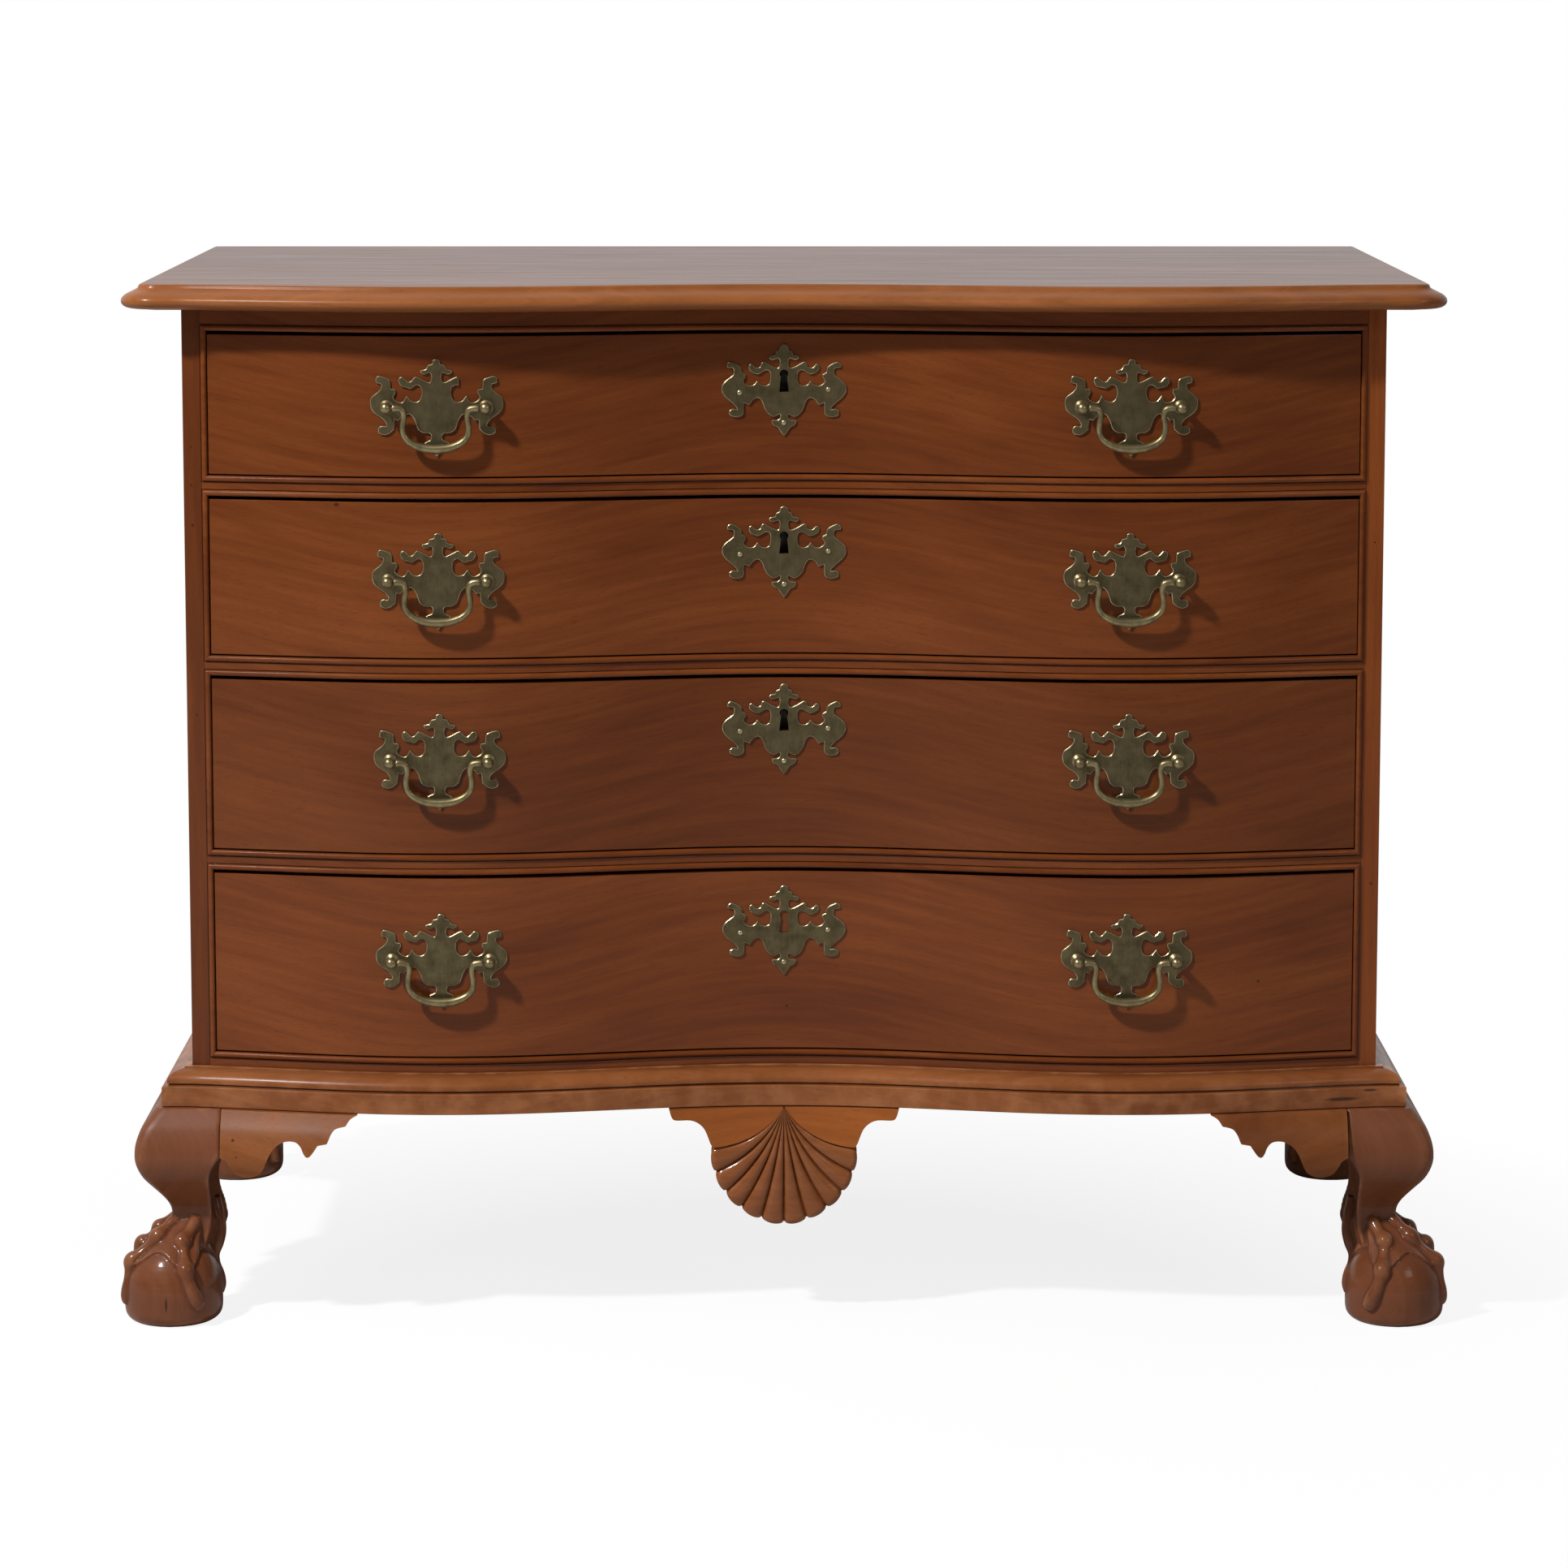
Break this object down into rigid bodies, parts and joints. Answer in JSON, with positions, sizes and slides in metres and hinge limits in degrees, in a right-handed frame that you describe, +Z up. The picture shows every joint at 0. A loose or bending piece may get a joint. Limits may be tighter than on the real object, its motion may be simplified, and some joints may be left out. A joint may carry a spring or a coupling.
{
  "type": "chest of drawers",
  "caption": "Reverse-serpentine chest of drawers with moulded top, beaded drawer blades, claw-and-ball feet, scrolled knee brackets, carved shell pendant and pierced brass bail pulls.",
  "frame": {"origin": "on the floor under the middle of the overall box", "axes": "+X to the right seen from the front, +Y towards the back, +Z up; the drawers open along -Y"},
  "size_m": [1.012, 0.5699, 0.7996],
  "materials": {
    "mahogany": "rubbed old varnish",
    "mahogany_pale": "rubbed old varnish, more worn and orange",
    "poplar": "bare planed secondary wood",
    "brass": "aged, and rubbed bright on the edges",
    "iron": "dark filed iron"
  },
  "bodies": {
    "case": {"top": "mahogany_pale", "side_left": "mahogany", "side_right": "mahogany", "bottom_board": "mahogany", "back_board": "poplar", "top_rail": "mahogany", "drawer_blade_1": "mahogany", "drawer_blade_2": "mahogany", "drawer_blade_3": "mahogany", "dustboard_1": "poplar", "dustboard_2": "poplar", "dustboard_3": "poplar", "base_moulding_front": "mahogany_pale", "base_moulding_left": "mahogany_pale", "base_moulding_right": "mahogany_pale", "foot_front_left": "mahogany", "foot_front_right": "mahogany", "foot_rear_left": "mahogany", "foot_rear_right": "mahogany", "bracket_front_left": "mahogany_pale", "bracket_front_right": "mahogany_pale", "bracket_side_front_left": "mahogany_pale", "bracket_side_front_right": "mahogany_pale", "bracket_side_rear_left": "mahogany_pale", "bracket_side_rear_right": "mahogany_pale", "shell_pendant": "mahogany_pale"},
    "drawer_1": {"drawer_1_front": "mahogany", "drawer_1_box": "poplar", "escutcheon_1": "brass", "pull_plate_1_left": "brass", "pull_plate_1_right": "brass", "lock_1": "iron"},
    "drawer_2": {"drawer_2_front": "mahogany", "drawer_2_box": "poplar", "escutcheon_2": "brass", "pull_plate_2_left": "brass", "pull_plate_2_right": "brass", "lock_2": "iron"},
    "drawer_3": {"drawer_3_front": "mahogany", "drawer_3_box": "poplar", "escutcheon_3": "brass", "pull_plate_3_left": "brass", "pull_plate_3_right": "brass", "lock_3": "iron"},
    "drawer_4": {"drawer_4_front": "mahogany", "drawer_4_box": "poplar", "escutcheon_4": "brass", "pull_plate_4_left": "brass", "pull_plate_4_right": "brass"},
    "bail_1_left": {"bail_1_left": "brass"},
    "bail_1_right": {"bail_1_right": "brass"},
    "bail_2_left": {"bail_2_left": "brass"},
    "bail_2_right": {"bail_2_right": "brass"},
    "bail_3_left": {"bail_3_left": "brass"},
    "bail_3_right": {"bail_3_right": "brass"},
    "bail_4_left": {"bail_4_left": "brass"},
    "bail_4_right": {"bail_4_right": "brass"},
    "lock_bolt_1": {"lock_bolt_1": "iron"},
    "lock_bolt_2": {"lock_bolt_2": "iron"},
    "lock_bolt_3": {"lock_bolt_3": "iron"}
  },
  "joints": [
    {"name": "drawer_1_slide", "type": "slide", "parent": "case", "child": "drawer_1", "axis": [0, -1, 0], "range_m": [0, 0.36]},
    {"name": "drawer_2_slide", "type": "slide", "parent": "case", "child": "drawer_2", "axis": [0, -1, 0], "range_m": [0, 0.36]},
    {"name": "drawer_3_slide", "type": "slide", "parent": "case", "child": "drawer_3", "axis": [0, -1, 0], "range_m": [0, 0.36]},
    {"name": "drawer_4_slide", "type": "slide", "parent": "case", "child": "drawer_4", "axis": [0, -1, 0], "range_m": [0, 0.36]},
    {"name": "bail_1_left_swing", "type": "hinge", "parent": "drawer_1", "child": "bail_1_left", "pos_m": [-0.262, -0.2649, 0.7078], "axis": [-1, 0, 0], "range_deg": [-8, 150]},
    {"name": "bail_1_right_swing", "type": "hinge", "parent": "drawer_1", "child": "bail_1_right", "pos_m": [0.262, -0.2649, 0.7078], "axis": [-1, 0, 0], "range_deg": [-8, 150]},
    {"name": "bail_2_left_swing", "type": "hinge", "parent": "drawer_2", "child": "bail_2_left", "pos_m": [-0.262, -0.2649, 0.5759], "axis": [-1, 0, 0], "range_deg": [-8, 150]},
    {"name": "bail_2_right_swing", "type": "hinge", "parent": "drawer_2", "child": "bail_2_right", "pos_m": [0.262, -0.2649, 0.5759], "axis": [-1, 0, 0], "range_deg": [-8, 150]},
    {"name": "bail_3_left_swing", "type": "hinge", "parent": "drawer_3", "child": "bail_3_left", "pos_m": [-0.262, -0.2649, 0.43765], "axis": [-1, 0, 0], "range_deg": [-8, 150]},
    {"name": "bail_3_right_swing", "type": "hinge", "parent": "drawer_3", "child": "bail_3_right", "pos_m": [0.262, -0.2649, 0.43765], "axis": [-1, 0, 0], "range_deg": [-8, 150]},
    {"name": "bail_4_left_swing", "type": "hinge", "parent": "drawer_4", "child": "bail_4_left", "pos_m": [-0.262, -0.2649, 0.28345], "axis": [-1, 0, 0], "range_deg": [-8, 150]},
    {"name": "bail_4_right_swing", "type": "hinge", "parent": "drawer_4", "child": "bail_4_right", "pos_m": [0.262, -0.2649, 0.28345], "axis": [-1, 0, 0], "range_deg": [-8, 150]},
    {"name": "lock_bolt_1_throw", "type": "slide", "parent": "drawer_1", "child": "lock_bolt_1", "axis": [0, 0, 1], "range_m": [0, 0.008]},
    {"name": "lock_bolt_2_throw", "type": "slide", "parent": "drawer_2", "child": "lock_bolt_2", "axis": [0, 0, 1], "range_m": [0, 0.008]},
    {"name": "lock_bolt_3_throw", "type": "slide", "parent": "drawer_3", "child": "lock_bolt_3", "axis": [0, 0, 1], "range_m": [0, 0.008]}
  ]
}
